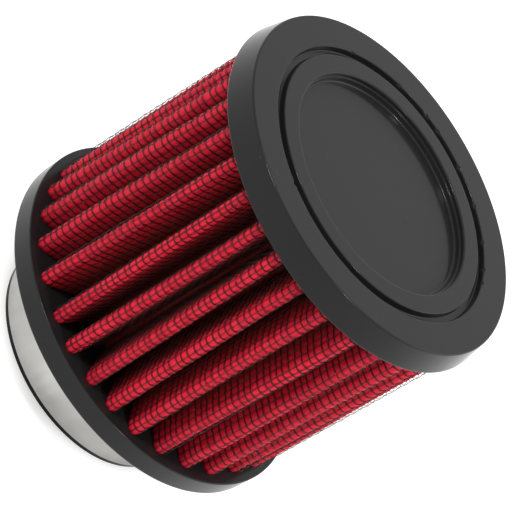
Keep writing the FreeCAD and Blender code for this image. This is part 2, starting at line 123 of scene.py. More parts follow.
# How finely the rubber is turned, and how near its rounded edges an extra ring of points holds its flats.
CAP_STEPS = 288
ROUNDING_STEPS = 5
ON_AXIS = 0.0001 * MM
HOLDING_DISTANCE = 0.12 * MM

# The closed cap's face, its groove and its stepped recess.
FACE_RADIUS = 36.9 * MM
GROOVE_OUTER_RADIUS = 30.0 * MM
GROOVE_INNER_RADIUS = 28.2 * MM
GROOVE_DEPTH = 1.4 * MM
GROOVE_DRAFT = 0.15 * MM
GROOVE_ROUNDING = 0.22 * MM
RECESS_RADIUS = 24.0 * MM
RECESS_DEPTH = 2.2 * MM
RECESS_DRAFT = 0.2 * MM
STEP_WIDTH = 0.3 * MM
STEP_DEPTH = 1.0 * MM

# Nicks along the groove's outer edge, in the cap's steps from +X.
NICK_STEPS = (21, 27, 38, 51, 64, 77, 83, 96, 118, 203)
NICK_DEPTH = 0.3 * MM
NICK_HEIGHT = 0.3 * MM
NICK_REACH = 0.8 * MM
NICKED_EDGE_RADIUS = GROOVE_OUTER_RADIUS + 0.05 * MM

# The open base: bore, neck under the clamp, lip beyond the clamp, and flange.
BORE_RADIUS = 22.225 * MM
BORE_CHAMFER = 0.6 * MM
NECK_SEAT_RADIUS = 24.5 * MM
LIP_RADIUS = 25.0 * MM
LIP_HEIGHT = 1.0 * MM
FLANGE_BOTTOM_RADIUS = 37.8 * MM
FLANGE_UNDERSIDE = 15.8 * MM

# The steel's edges are broken where its faces turn by more than an edge's angle. Faces that turn by less than
# the flat angle are merged first, and so are points nearer than the merge distance.
EDGE_ANGLE = math.radians(35)
FLAT_ANGLE = math.radians(0.5)
MERGE_DISTANCE = 0.0005 * MM

# The worm thread, a low ridge round the clamp screw's shank that stays clear of the band.
SCREW_CENTRE = Vector((0, 28.8 * MM, 7.35 * MM))
THREAD_LENGTH = 11.6 * MM
THREAD_PITCH = 3.19 * MM
THREAD_PATH_RADIUS = 2.72 * MM
THREAD_SECTION_RADIUS = 0.31 * MM

# The photograph's viewpoint.
CAMERA_TILT = math.radians(-57.89)
CAMERA_ROLL = math.radians(-59.15)
CAMERA_OFFSET = Vector((2.275 * MM, 1.977 * MM, 704.2 * MM))
CAMERA_AIM = Vector((0, 0, 43.11 * MM))
SENSOR_WIDTH = 36
CAMERA_LENS = 247.4

# The studio: how much the floor is lifted to white where it is seen, its size, and the surround's light.
FLOOR_LIFT = 0.55
FLOOR_SIZE = 6
WORLD_LEVEL = 0.42


class Value:
    """A node's output. Python sums and products on it add Math nodes to its tree."""

    def __init__(self, nodes, socket):
        self.nodes = nodes
        self.socket = socket

    def math(self, operation, *others):
        return self.nodes.add("ShaderNodeMath", {"operation": operation}, dict(enumerate([self, *others])))

    def __add__(self, other):
        return self.math("ADD", other)

    def __radd__(self, other):
        return self.math("ADD", other)

    def __mul__(self, other):
        return self.math("MULTIPLY", other)

    def __rmul__(self, other):
        return self.math("MULTIPLY", other)

    def __pow__(self, other):
        return self.math("POWER", other)

    def __rpow__(self, other):
        return self.nodes.add("ShaderNodeMath", {"operation": "POWER"}, {0: other, 1: self})


class Nodes:
    """A node tree, with one method that adds a node of any kind."""

    def __init__(self, tree):
        self.tree = tree
        tree.nodes.clear()

    def add(self, kind, settings=None, inputs=None, output=0):
        node = self.tree.nodes.new(kind)
        for name, value in (settings or {}).items():
            setattr(node, name, value)
        for name, value in (inputs or {}).items():
            if isinstance(value, Value):
                self.tree.links.new(value.socket, node.inputs[name])
            else:
                node.inputs[name].default_value = value
        return Value(self, node.outputs[output]) if len(node.outputs) else node

    def part(self, vector, number):
        """One part of a vector: 0, 1 or 2."""
        return self.add("ShaderNodeSeparateXYZ", None, {"Vector": vector}, output=number)

    def axis_distance(self, place):
        """Distance from the filter's axis."""
        flat = self.add("ShaderNodeVectorMath", {"operation": "MULTIPLY"}, {0: place, 1: (1, 1, 0)})
        return self.add("ShaderNodeVectorMath", {"operation": "LENGTH"}, {0: flat}, output="Value")

    def noise(self, place, scale, detail=3.0, roughness=0.5):
        return self.add("ShaderNodeTexNoise", None, {
            "Vector": place, "Scale": scale, "Detail": detail, "Roughness": roughness})

    def ramp(self, value, low, high):
        """0 below a low value, 1 above a high one, and smooth between."""
        return self.add("ShaderNodeMapRange", {"interpolation_type": "SMOOTHSTEP"}, {
            "Value": value, "From Min": low, "From Max": high})

    def mix(self, factor, first, second):
        """Two colours mixed. The Mix node's sockets share their names, so its colours go by number."""
        return self.add("ShaderNodeMix", {"data_type": "RGBA"}, {0: factor, 6: first, 7: second}, output=2)

    def bump(self, height, distance, strength=1.0, normal=None):
        inputs = {"Height": height, "Distance": distance, "Strength": strength}
        if normal:
            inputs["Normal"] = normal
        return self.add("ShaderNodeBump", None, inputs)


def new_material(name):
    material = bpy.data.materials.new(name)
    material.use_nodes = True
    return material, Nodes(material.node_tree)


def finish_material(nodes, inputs):
    surface = nodes.add("ShaderNodeBsdfPrincipled", None, inputs)
    nodes.add("ShaderNodeOutputMaterial", None, {"Surface": surface})


def place_on_object(nodes):
    return nodes.add("ShaderNodeTexCoord", output="Object")


def seen_directly(nodes):
    """1 for what the camera, a gloss or a clear material shows, 0 for the light that falls on the filter."""
    camera, glossy, through = (nodes.add("ShaderNodeLightPath", output=f"Is {ray} Ray")
                               for ray in ("Camera", "Glossy", "Transmission"))
    return (camera + glossy + through).math("MINIMUM", 1.0)


def make_rubber():
    """Black moulded rubber with a satin skin under a thin bloom, faint scuffs and a little dust."""
    dark, faded, dust = (0.009, 0.009, 0.0093, 1), (0.013, 0.013, 0.013, 1), (0.05, 0.05, 0.05, 1)
    material, nodes = new_material("moulded_rubber")
    place = place_on_object(nodes)
    cloudy = nodes.noise(place, 60, 4)
    grain = nodes.noise(place, 2600, 2)
    specks = nodes.ramp(nodes.noise(place, 900, 2), 0.71, 0.76)
    skin = nodes.bump(grain, 0.012 * MM, 0.6)
    normal = nodes.bump(nodes.noise(place, 240, 3), 0.05 * MM, 0.35, skin)
    finish_material(nodes, {
        "Base Color": nodes.mix(specks * 0.2, nodes.mix(cloudy, dark, faded), dust),
        "Roughness": 0.36 + 0.1 * cloudy + 0.05 * grain,
        "Normal": normal,
        "Specular IOR Level": 0.08,
        "Coat Weight": 0.7,
        "Coat IOR": 1.24,
        "Coat Roughness": 0.13,
    })
    return material


def make_gauze():
    """Red oiled cotton gauze: paler on some cells, darker at the cells' edges (partly oil, partly painted crease
    shade), with painted shade under the cross wires and deep in the folds. Its own map counts the wire cloth's cells."""
    crimson, scarlet, pale_red = (0.66, 0.006, 0.036, 1), (0.84, 0.014, 0.036, 1), (0.92, 0.035, 0.085, 1)
    # The oily red at the cells' edges is partly oil and partly painted crease shade.
    oil_and_crease_shade_red, thread_red = (0.36, 0.003, 0.018, 1), (0.34, 0.003, 0.018, 1)
    # Painted shade colours: a darker red under the cross wires and the darkest red deep in the folds.
    painted_row_shade_red, painted_fold_shade_red = (0.15, 0.002, 0.008, 1), (0.22, 0.019, 0.016, 1)
    material, nodes = new_material("oiled_gauze")
    place = place_on_object(nodes)
    cells = nodes.add("ShaderNodeUVMap", {"uv_map": "cells"})
    across = nodes.part(cells, 0)
    along = nodes.part(cells, 1)
    rows = (along * math.pi).math("SINE").math("ABSOLUTE")
    pillow = (across * math.pi).math("SINE").math("ABSOLUTE") * rows
    drift = nodes.noise(place, 900, 2) * 2.0
    threads = ((across * 22 + drift).math("SINE") + (along * 22 + drift).math("SINE")) * 0.25 + 0.5
    cell = nodes.add("ShaderNodeVectorMath", {"operation": "FLOOR"}, {0: cells})
    cell_chance = nodes.add("ShaderNodeTexWhiteNoise", {"noise_dimensions": "2D"}, {"Vector": cell})
    fibres = nodes.noise(place, 5200, 3)
    red = nodes.mix(nodes.ramp(nodes.noise(place, 420, 3), 0.38, 0.62), crimson, scarlet)
    varied = nodes.mix(cell_chance * 0.45, red, pale_red)
    # Darker towards the cells' edges along the wires: partly oil, partly painted crease shade.
    oil_and_crease_shaded = nodes.mix(nodes.ramp(pillow, 0.0, 0.32), oil_and_crease_shade_red, varied)
    # Painted shade of the cross wires: the gauze darkens along each row of them.
    row_shaded = nodes.mix(nodes.ramp(rows, 0.1, 0.5), painted_row_shade_red, oil_and_crease_shaded)
    woven = nodes.mix(threads * 0.25 + fibres * 0.15, row_shaded, thread_red)
    # Painted shade in the folds: the gauze darkens towards the axis.
    clear_of_fold_shade = nodes.ramp(nodes.axis_distance(place), FULL_FOLD_SHADE_RADIUS, NO_FOLD_SHADE_RADIUS)
    puffed = nodes.bump(pillow ** 0.6, 0.16 * MM, 0.7)
    normal = nodes.bump(threads + fibres * 0.8, 0.03 * MM, 0.55, puffed)
    finish_material(nodes, {
        "Base Color": nodes.mix(clear_of_fold_shade, painted_fold_shade_red, woven),
        "Roughness": 0.5 + 0.2 * fibres,
        "Normal": normal,
        "Specular IOR Level": 0.2,
    })
    return material


def make_wire_coating():
    """Black coating on the wire, stained by the red oil, worn through to pale metal in specks, and with painted shade
    deep in the folds.
    """
    red_stain, brown_stain = (0.03, 0.004, 0.004, 1), (0.02, 0.012, 0.008, 1)
    # The last colour here is painted shade for the wires deep in the folds.
    bare_metal, painted_fold_shade_brown = (0.4, 0.34, 0.28, 1), (0.04, 0.02, 0.015, 1)
    material, nodes = new_material("coated_wire")
    place = place_on_object(nodes)
    patchy = nodes.noise(place, 700, 3)
    worn = nodes.ramp(nodes.noise(place, 1500, 2), 0.68, 0.74)
    coating = nodes.mix(worn * 0.7, nodes.mix(patchy, red_stain, brown_stain), bare_metal)
    # Painted shade in the folds: the coating darkens towards the axis.
    clear_of_fold_shade = nodes.ramp(nodes.axis_distance(place), FULL_FOLD_SHADE_RADIUS, NO_FOLD_SHADE_RADIUS)
    finish_material(nodes, {
        "Base Color": nodes.mix(clear_of_fold_shade, painted_fold_shade_brown, coating),
        "Roughness": 0.3 + 0.25 * patchy,
        "Metallic": worn * 0.5,
        "Specular IOR Level": 0.3,
        "Normal": nodes.bump(patchy, 0.02 * MM, 0.4),
    })
    return material


def make_steel(name, base, roughness, grain_direction):
    """Stainless steel with fine rolled or turned lines along one direction, and soft smudges."""
    material, nodes = new_material(name)
    place = place_on_object(nodes)
    stretched = nodes.add("ShaderNodeMapping", None, {"Vector": place, "Scale": grain_direction})
    lines = nodes.noise(stretched, 900, 4, 0.6)
    smudges = nodes.noise(place, 55, 3)
    spots = nodes.ramp(nodes.noise(place, 160, 2), 0.66, 0.72)
    light = (*base, 1)
    dull = (*(0.8 * channel for channel in base), 1)
    tarnish = (0.3, 0.27, 0.22, 1)
    smudged = nodes.mix(nodes.ramp(smudges, 0.35, 0.7), light, dull)
    finish_material(nodes, {
        "Base Color": nodes.mix(spots * 0.3, smudged, tarnish),
        "Metallic": 1.0,
        "Roughness": roughness + 0.12 * smudges + 0.08 * lines,
        "Normal": nodes.bump(lines, 0.01 * MM, 0.35),
    })
    return material


def make_floor_material():
    """A pale studio floor: it takes shadows, and its open parts show as white."""
    material, nodes = new_material("studio_floor")
    diffuse = nodes.add("ShaderNodeBsdfDiffuse", None, {"Color": (0.82, 0.82, 0.82, 1)})
    lift = nodes.add("ShaderNodeEmission", None, {
        "Color": (1, 1, 1, 1), "Strength": seen_directly(nodes) * FLOOR_LIFT})
    both = nodes.add("ShaderNodeAddShader", None, {0: diffuse, 1: lift})
    nodes.add("ShaderNodeOutputMaterial", None, {"Surface": both})
    return material


def fold_lengths():
    """Lengths of a foot's half, a leg and a tip along the outer wire cloth, with the folds' sizes."""
    tip_centre = PACK_OUTER_RADIUS - TIP_OUTSIDE_RADIUS
    foot_centre = PACK_INNER_RADIUS + FOOT_INSIDE_RADIUS + PACK_THICKNESS
    along = tip_centre - foot_centre * math.cos(HALF_PITCH)
    across = foot_centre * math.sin(HALF_PITCH)
    apart = math.hypot(along, across)
    lean = math.atan2(across, along) - math.asin((TIP_OUTSIDE_RADIUS + FOOT_INSIDE_RADIUS) / apart)
    turn = math.pi / 2 - lean
    leg = math.sqrt(apart ** 2 - (TIP_OUTSIDE_RADIUS + FOOT_INSIDE_RADIUS) ** 2)
    foot = (FOOT_INSIDE_RADIUS + OUTER_CLOTH_DEPTH) * (turn - HALF_PITCH)
    tip = (TIP_OUTSIDE_RADIUS - OUTER_CLOTH_DEPTH) * 2 * turn
    return foot, leg, tip, tip_centre, foot_centre, turn


def pleat_points(share, depth):
    """Points and outward directions of one pleat centred on +X, at shares of the way from foot to foot.

    The depth is measured from the outermost face of the pack. Shares are the same at every depth.
    """
    foot, leg, tip, tip_centre, foot_centre, turn = fold_lengths()
    half = foot + leg + tip / 2
    from_tip = np.abs(share - 0.5) * 2 * half
    side = np.where(share < 0.5, -1.0, 1.0)
    tip_radius = TIP_OUTSIDE_RADIUS - depth
    foot_radius = FOOT_INSIDE_RADIUS + depth

    tip_angle = np.clip(from_tip / (tip / 2), 0, 1) * turn
    tip_x = tip_centre + tip_radius * np.cos(tip_angle)
    tip_y = tip_radius * np.sin(tip_angle)

    down = np.clip((from_tip - tip / 2) / leg, 0, 1)
    leg_end_x = foot_centre * math.cos(HALF_PITCH) - foot_radius * math.cos(turn)
    leg_end_y = foot_centre * math.sin(HALF_PITCH) - foot_radius * math.sin(turn)
    leg_x = tip_x + (leg_end_x - tip_x) * down
    leg_y = tip_y + (leg_end_y - tip_y) * down

    foot_angle = turn - np.clip((from_tip - tip / 2 - leg) / foot, 0, 1) * (turn - HALF_PITCH)
    foot_x = foot_centre * math.cos(HALF_PITCH) - foot_radius * np.cos(foot_angle)
    foot_y = foot_centre * math.sin(HALF_PITCH) - foot_radius * np.sin(foot_angle)

    in_foot = from_tip > tip / 2 + leg
    x = np.where(in_foot, foot_x, leg_x)
    y = np.where(in_foot, foot_y, leg_y) * side
    angle = np.where(in_foot, foot_angle, tip_angle)
    return x, y, np.cos(angle), np.sin(angle) * side


class Gathering:
    """How the pleats of this filter lean and stand, the same for every layer."""

    def __init__(self):
        chance = random.Random(GATHERING_SEED)
        self.sway = [[chance.uniform(-1, 1) for _ in range(3)] for _ in range(PLEAT_COUNT)]
        self.rise = [chance.uniform(-1, 1) for _ in range(PLEAT_COUNT)]
        self.stray = [[math.radians(strays.get(pleat, 0)) for strays in (BASE_STRAY, CAP_STRAY)]
                      for pleat in range(PLEAT_COUNT)]
        shifts = []
        shift = 0.0
        for _ in range(PLEAT_COUNT):
            shift += chance.uniform(-WIRE_SHIFT_STEP, WIRE_SHIFT_STEP)
            shifts.append(shift)
        drift = shifts[-1] / PLEAT_COUNT
        self.shift = [value - drift * number for number, value in enumerate(shifts)]

    def lean(self, angle, height):
        """How far the whole ring has turned at an angle and a share of the height."""
        around = (angle - FRONT + math.pi) % TURN - math.pi
        facing = 0.5 + 0.5 * np.cos(around)
        base = -BASE_SWAY * np.sin(BASE_SWAY_WAVES * (around - BASE_SWAY_START)) * facing
        top = -TOP_TWIST * facing * np.sin(TOP_TWIST_WAVES * (around + TOP_TWIST_START))
        return base + top * height

    def wire_shift(self, pleat, share):
        """Wires' offset from the crest, in cells, passing smoothly from pleat to pleat."""
        shift = np.array(self.shift)
        here = shift[pleat % PLEAT_COUNT]
        before = shift[(pleat - 1) % PLEAT_COUNT]
        after = shift[(pleat + 1) % PLEAT_COUNT]
        low = (before + here) / 2
        high = (after + here) / 2
        away = np.abs(share - 0.5) * 2
        return WIRE_SHIFT * (here + (np.where(share < 0.5, low, high) - here) * away)

    def place(self, pleat, share, z, depth, lift):
        """World points on the pack: pleat numbers, shares, heights, a depth and a lift outwards."""
        x, y, out_x, out_y = pleat_points(share, depth)
        x = x + out_x * lift
        y = y + out_y * lift
        height = np.clip((z - PACK_BOTTOM) / (PACK_TOP - PACK_BOTTOM), 0, 1)
        number = pleat % PLEAT_COUNT
        sway = np.array(self.sway)[number]
        jitter = PLEAT_JITTER * (sway[..., 0] * 0.6 + sway[..., 1] * (height - 0.5)
                                 + sway[..., 2] * 0.5 * np.sin(np.pi * height))
        stray = np.array(self.stray)[number]
        jitter = jitter + stray[..., 0] + (stray[..., 1] - stray[..., 0]) * height
        reach = np.clip((x - PACK_INNER_RADIUS) / (PACK_OUTER_RADIUS - PACK_INNER_RADIUS), 0, 1)
        reach = reach * reach * (3 - 2 * reach)
        rise = PLEAT_HEIGHT_JITTER * np.array(self.rise)[number] * reach
        angle = np.arctan2(y, x)
        radius = np.hypot(x, y) + rise
        ring = PLEAT_PHASE + pleat * 2 * HALF_PITCH
        turned = angle + ring
        leaning = FOOT_LEAN_SHARE + (1 - FOOT_LEAN_SHARE) * reach
        turned = turned + self.lean(turned, height) * leaning + jitter * reach
        return np.stack([radius * np.cos(turned), radius * np.sin(turned), z + 0 * radius], axis=-1)


gathering = Gathering()


def uneven(number, seed):
    """A steady pseudo-random value from -1 to 1 for each whole number."""
    swing = np.sin(number * 12.9898 + seed * 78.233) * 43758.5453
    return 2 * (swing - np.floor(swing)) - 1


def wandered(wire, along, seed, count):
    """Positions counted in wires, moved as each wire strays from its place and wanders along its length."""
    moved = 0.0
    before = np.floor(wire)
    past = wire - before
    for near, share in ((before, 1 - past), (before + 1, past)):
        number = near % count
        stray = WIRE_UNEVENNESS * uneven(number, seed)
        wave = WIRE_WANDER * np.sin(along * (0.35 + 0.2 * uneven(number, seed + 1)) + 9 * uneven(number, seed + 2))
        moved = moved + share * (stray + wave)
    return wire + moved


def wire_share(column, row):
    """Pleat numbers and shares of the way across them, for positions counted in wires."""
    column = wandered(column, row, COLUMN_SEED, WIRE_COUNT)
    pleat = np.floor(column / WIRES_PER_PLEAT).astype(int)
    share = column / WIRES_PER_PLEAT - pleat
    share = share + gathering.wire_shift(pleat, share) / WIRES_PER_PLEAT
    step = np.floor(share).astype(int)
    return pleat + step, share - step


def row_height(row, column, pleat, share):
    """Height of a cross wire: the rows run slightly uphill and downhill round the pack."""
    angle = PLEAT_PHASE + (pleat + share) * 2 * HALF_PITCH
    wave = sum(height * np.sin(angle * number + start) for height, number, start in ROW_WAVES)
    closing = np.sin(column * TURN / WIRE_COUNT) * 30
    wave = wave + wandered(row + 0.0, closing, ROW_SEED, WIRE_ROWS + 1) - row
    inside = np.clip(np.minimum(row, WIRE_ROWS - row) / ROWS_HELD_BY_CAP, 0, 1)
    return PACK_BOTTOM + (row + wave * inside) * ROW_PITCH


def mesh_object(name, points, edges=(), faces=()):
    mesh = bpy.data.meshes.new(name)
    mesh.from_pydata(points, edges, faces)
    piece = bpy.data.objects.new(name, mesh)
    bpy.context.scene.collection.objects.link(piece)
    return piece


def apply_modifiers(piece):
    """The evaluated piece as a plain mesh."""
    depsgraph = bpy.context.evaluated_depsgraph_get()
    mesh = bpy.data.meshes.new_from_object(piece.evaluated_get(depsgraph))
    piece.modifiers.clear()
    piece.data = mesh
    return piece


def geometry_tree(name, sizes):
    """An empty geometry tree with named inputs: a geometry, sizes and a material."""
    tree = bpy.data.node_groups.new(name, "GeometryNodeTree")
    tree.is_modifier = True
    tree.interface.new_socket("Geometry", in_out="OUTPUT", socket_type="NodeSocketGeometry")
    tree.interface.new_socket("Geometry", in_out="INPUT", socket_type="NodeSocketGeometry")
    for size, kind in sizes.items():
        tree.interface.new_socket(size, in_out="INPUT", socket_type=kind)
    tree.interface.new_socket("Material", in_out="INPUT", socket_type="NodeSocketMaterial")
    nodes = Nodes(tree)
    entry = tree.nodes.new("NodeGroupInput")
    return tree, nodes, {socket.name: Value(nodes, socket) for socket in entry.outputs if socket.name}


def close_tree(nodes, geometry, material):
    """Every tree ends the same way: smooth, realized, and in its material."""
    smooth = nodes.add("GeometryNodeSetShadeSmooth", None, {"Geometry": geometry})
    real = nodes.add("GeometryNodeRealizeInstances", None, {"Geometry": smooth})
    dressed = nodes.add("GeometryNodeSetMaterial", None, {"Geometry": real, "Material": material})
    nodes.add("NodeGroupOutput", None, {"Geometry": dressed})


def run_tree(piece, tree, values):
    """Give a piece a geometry tree with its inputs, and make the result its mesh."""
    modifier = piece.modifiers.new(tree.name, "NODES")
    modifier.node_group = tree
    for item in tree.interface.items_tree:
        if item.in_out == "INPUT" and item.name in values:
            modifier[item.identifier] = values[item.name]
    return apply_modifiers(piece)


def wire_tree():
    """Round wire along every chain of edges."""
    tree, nodes, given = geometry_tree("wire_along_path", {
        "Wire radius": "NodeSocketFloat", "Sides": "NodeSocketInt"})
    path = nodes.add("GeometryNodeMeshToCurve", None, {"Mesh": given["Geometry"]})
    section = nodes.add("GeometryNodeCurvePrimitiveCircle", {"mode": "RADIUS"}, {
        "Resolution": given["Sides"], "Radius": given["Wire radius"]})
    wire = nodes.add("GeometryNodeCurveToMesh", None, {
        "Curve": path, "Profile Curve": section, "Fill Caps": True})
    close_tree(nodes, wire, given["Material"])
    return tree


def thread_tree():
    """The low worm thread of a clamp screw: a rounded ridge wound on its shank, along X."""
    tree, nodes, given = geometry_tree("worm_thread", {
        "Turns": "NodeSocketFloat", "Length": "NodeSocketFloat", "Path radius": "NodeSocketFloat",
        "Section radius": "NodeSocketFloat", "Centre": "NodeSocketVector"})
    spiral = nodes.add("GeometryNodeCurveSpiral", None, {
        "Resolution": 36, "Rotations": given["Turns"], "Start Radius": given["Path radius"],
        "End Radius": given["Path radius"], "Height": given["Length"]})
    laid = nodes.add("GeometryNodeTransform", None, {
        "Geometry": spiral, "Rotation": (0, math.pi / 2, 0), "Translation": given["Centre"]})
    section = nodes.add("GeometryNodeCurvePrimitiveCircle", {"mode": "RADIUS"}, {
        "Resolution": 10, "Radius": given["Section radius"]})
    ridge = nodes.add("GeometryNodeCurveToMesh", None, {
        "Curve": laid, "Profile Curve": section, "Fill Caps": True})
    close_tree(nodes, ridge, given["Material"])
    return tree


def make_wires_along(name, depth, sides, tree, material):
    """The wires that run from cap to cap, over and under the cross wires."""
    columns = np.arange(WIRE_COUNT)
    rows = np.arange(WIRE_ROWS + 1)
    column, row = np.meshgrid(columns, rows, indexing="ij")
    pleat, share = wire_share(column.astype(float), row)
    z = row_height(row, column, pleat, share)
    z[:, 0] -= END_IN_RUBBER
    z[:, -1] += END_IN_RUBBER
    side = np.where((column + row) % 2 == 0, 1.0, -1.0)
    points = gathering.place(pleat, share, z, depth, WIRE_CRIMP * side).reshape(-1, 3)
    index = np.arange(len(points)).reshape(column.shape)
    edges = np.stack([index[:, :-1].ravel(), index[:, 1:].ravel()], axis=-1)
    piece = mesh_object(name, points.tolist(), edges.tolist())
    return run_tree(piece, tree, {"Wire radius": WIRE_RADIUS, "Sides": sides, "Material": material})


def make_wires_around(name, depth, sides, samples, tree, material):
    """The cross wires: one closed ring a row, pressed into every pleat, with some points to a cell."""
    columns = np.arange(WIRE_COUNT * samples) / samples
    rows = np.arange(1, WIRE_ROWS)
    row, column = np.meshgrid(rows, columns, indexing="ij")
    pleat, share = wire_share(column, row)
    z = row_height(row, column, pleat, share)
    side = -np.cos(np.pi * (column + row))
    points = gathering.place(pleat, share, z, depth, WIRE_CRIMP * side).reshape(-1, 3)
    index = np.arange(len(points)).reshape(column.shape)
    edges = np.stack([index.ravel(), np.roll(index, -1, axis=1).ravel()], axis=-1)
    piece = mesh_object(name, points.tolist(), edges.tolist())
    return run_tree(piece, tree, {"Wire radius": WIRE_RADIUS, "Sides": sides, "Material": material})


def crest_gap(pleat, share, row):
    """How far the gauze falls short of the sharper fold of the wire cloth: more here, less there."""
    foot, leg, tip = fold_lengths()[:3]
    from_tip = np.abs(share - 0.5) * 2 * (foot + leg + tip / 2)
    slack = 0.5 + 0.5 * np.sin(CREST_GAP_TURN_PER_PLEAT * (pleat % PLEAT_COUNT) + CREST_GAP_TURN_PER_ROW * row)
    return CREST_GAP * slack * np.exp(-(from_tip / CREST_GAP_REACH) ** 2)


def make_gauze_cloth(material):
    """Gauze puffed out through every cell of the outer cloth, with a plain inner face."""
    columns = WIRE_COUNT * 2
    rows = WIRE_ROWS * 2
    column, row = np.meshgrid(np.arange(columns) / 2, np.arange(rows + 1) / 2, indexing="ij")
    pleat, share = wire_share(column, row)
    z = row_height(row, column, pleat, share)
    z[:, 0] -= END_IN_RUBBER
    z[:, -1] += END_IN_RUBBER
    puff = GAUZE_PUFF * np.abs(np.sin(np.pi * column)) * np.abs(np.sin(np.pi * row))
    outer = gathering.place(pleat, share, z, GAUZE_OUTER_DEPTH + crest_gap(pleat, share, row), puff)
    inner = gathering.place(pleat, share, z, GAUZE_INNER_DEPTH, 0.0)[::2, ::4]
    outer_index = np.arange(columns * (rows + 1)).reshape(columns, rows + 1)
    inner_rows = inner.shape[1]
    inner_index = outer_index.size + np.arange(inner.shape[0] * inner_rows).reshape(inner.shape[:2])
    faces = grid_faces(outer_index, True) + grid_faces(inner_index, False)
    for end, flip in ((0, False), (-1, True)):
        faces += rim_faces(outer_index[:, end], inner_index[:, end], flip)
    points = np.concatenate([outer.reshape(-1, 3), inner.reshape(-1, 3)])
    piece = mesh_object("gauze_cloth", points.tolist(), faces=faces)
    mesh = piece.data
    mesh.materials.append(material)
    for polygon in mesh.polygons:
        polygon.use_smooth = True
    add_cell_map(mesh, column, row, len(faces))
    return piece


def grid_faces(index, outward):
    """Four-sided faces over a grid of point numbers that closes on itself along its first axis."""
    ahead = np.roll(index, -1, axis=0)
    corners = [index[:, :-1], ahead[:, :-1], ahead[:, 1:], index[:, 1:]]
    if not outward:
        corners.reverse()
    return np.stack(corners, axis=-1).reshape(-1, 4).tolist()


def rim_faces(fine, coarse, flip):
    """Triangles between a fine ring of points and a coarse one with half as many."""
    faces = []
    count = len(coarse)
    for number in range(count):
        first, middle, last = fine[2 * number], fine[2 * number + 1], fine[(2 * number + 2) % len(fine)]
        near, far = coarse[number], coarse[(number + 1) % count]
        fan = [(first, near, middle), (middle, near, far), (middle, far, last)]
        faces += [tuple(int(p) for p in (f[::-1] if flip else f)) for f in fan]
    return faces


def add_cell_map(mesh, column, row, face_count):
    """A map of the gauze that counts cells of the wire cloth, for its material."""
    layer = mesh.uv_layers.new(name="cells")
    size = column.size
    wire_of = np.zeros(len(mesh.vertices))
    row_of = np.zeros(len(mesh.vertices))
    wire_of[:size] = column.ravel()
    row_of[:size] = row.ravel()
    wire_of[size:] = column[::2, ::4].ravel()
    row_of[size:] = row[::2, ::4].ravel()
    corner = np.zeros(len(mesh.loops), int)
    mesh.loops.foreach_get("vertex_index", corner)
    starts = np.zeros(face_count, int)
    totals = np.zeros(face_count, int)
    mesh.polygons.foreach_get("loop_start", starts)
    mesh.polygons.foreach_get("loop_total", totals)
    face_of = np.repeat(np.arange(face_count), totals)
    across = wire_of[corner]
    highest = np.zeros(face_count)
    np.maximum.at(highest, face_of, across)
    over_the_seam = highest[face_of] - across > WIRE_COUNT / 2
    across = np.where(over_the_seam, across + WIRE_COUNT, across)
    layer.data.foreach_set("uv", np.stack([across, row_of[corner]], axis=-1).ravel())


def rounded(profile):
    """A closed outline of (radius, height, rounding) corners, with its corners rounded."""
    points = []
    count = len(profile)
    for number, (r, z, rounding) in enumerate(profile):
        here = Vector((r, z))
        if not rounding:
            points.append(here)
            continue
        before = Vector(profile[number - 1][:2]) - here
        after = Vector(profile[(number + 1) % count][:2]) - here
        half = before.angle(after) / 2
        setback = min(rounding / math.tan(half), 0.49 * before.length, 0.49 * after.length)
        start = here + before.normalized() * setback
        end = here + after.normalized() * setback
        radius = setback * math.tan(half)
        centre = here + (before.normalized() + after.normalized()).normalized() * (radius / math.sin(half))
        first = math.atan2(*(start - centre).yx)
        sweep = (math.atan2(*(end - centre).yx) - first + math.pi) % TURN - math.pi
        for step in range(ROUNDING_STEPS + 1):
            angle = first + sweep * step / ROUNDING_STEPS
            points.append(centre + radius * Vector((math.cos(angle), math.sin(angle))))
    return points


def with_holding_points(outline):
    """The outline with a point just inside both ends of each long straight, so that flats shade flat."""
    points = []
    for number, here in enumerate(outline):
        points.append(here)
        following = outline[(number + 1) % len(outline)]
        straight = following - here
        if straight.length > 5 * HOLDING_DISTANCE:
            step = straight.normalized() * HOLDING_DISTANCE
            points += [here + step, following - step]
    return points


def lathe(name, profile, material):
    """Turn a closed outline about Z. Corners on the axis become single points."""
    mesh = bmesh.new()
    rings = []
    profile = with_holding_points(profile)
    for point in profile:
        if point.x < ON_AXIS:
            rings.append([mesh.verts.new((0, 0, point.y))] * CAP_STEPS)
            continue
        ring = []
        for step in range(CAP_STEPS):
            angle = TURN * step / CAP_STEPS
            ring.append(mesh.verts.new((point.x * math.cos(angle), point.x * math.sin(angle), point.y)))
        rings.append(ring)
    for number, ring in enumerate(rings):
        following = rings[(number + 1) % len(rings)]
        for step in range(CAP_STEPS):
            ahead = (step + 1) % CAP_STEPS
            corners = [ring[step], ring[ahead], following[ahead], following[step]]
            corners = list(dict.fromkeys(corners))
            if len(corners) > 2:
                face = mesh.faces.new(corners)
                face.smooth = True
    bmesh.ops.recalc_face_normals(mesh, faces=mesh.faces)
    piece = mesh_object(name, [])
    mesh.to_mesh(piece.data)
    mesh.free()
    piece.data.materials.append(material)
    return piece


